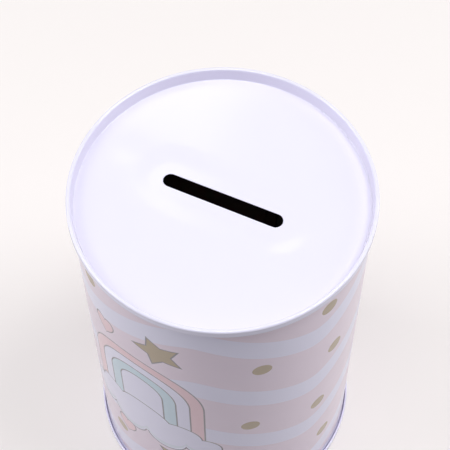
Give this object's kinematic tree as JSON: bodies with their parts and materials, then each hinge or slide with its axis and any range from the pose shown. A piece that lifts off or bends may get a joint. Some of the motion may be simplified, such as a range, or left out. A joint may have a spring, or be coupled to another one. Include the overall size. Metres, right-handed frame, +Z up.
{
  "type": "tin money box",
  "caption": "Round printed tin money box with a sunken slotted lid and a base, both rolled on with double seams, and a pull-out stopper in the base.",
  "frame": {"origin": "on the resting plane, under the middle of the base", "axes": "+Z up along the axis of the tin, X along the coin slot, the wall's lock seam at +Y"},
  "size_m": [0.1, 0.1, 0.15],
  "materials": {
    "printed_tin": "gloss print in pink and white bands with gold dots",
    "white_lacquer": "gloss white lacquer with a cool tint",
    "plug_plastic": "soft satin plastic, milky white"
  },
  "bodies": {
    "tin": {"body_wall": "printed_tin", "top_end": "white_lacquer", "bottom_end": "white_lacquer"},
    "stopper": {"base_plug": "plug_plastic"}
  },
  "joints": [
    {"name": "plug_pull", "type": "slide", "parent": "tin", "child": "stopper", "axis": [0, 0, -1], "range_m": [0, 0.03]}
  ]
}
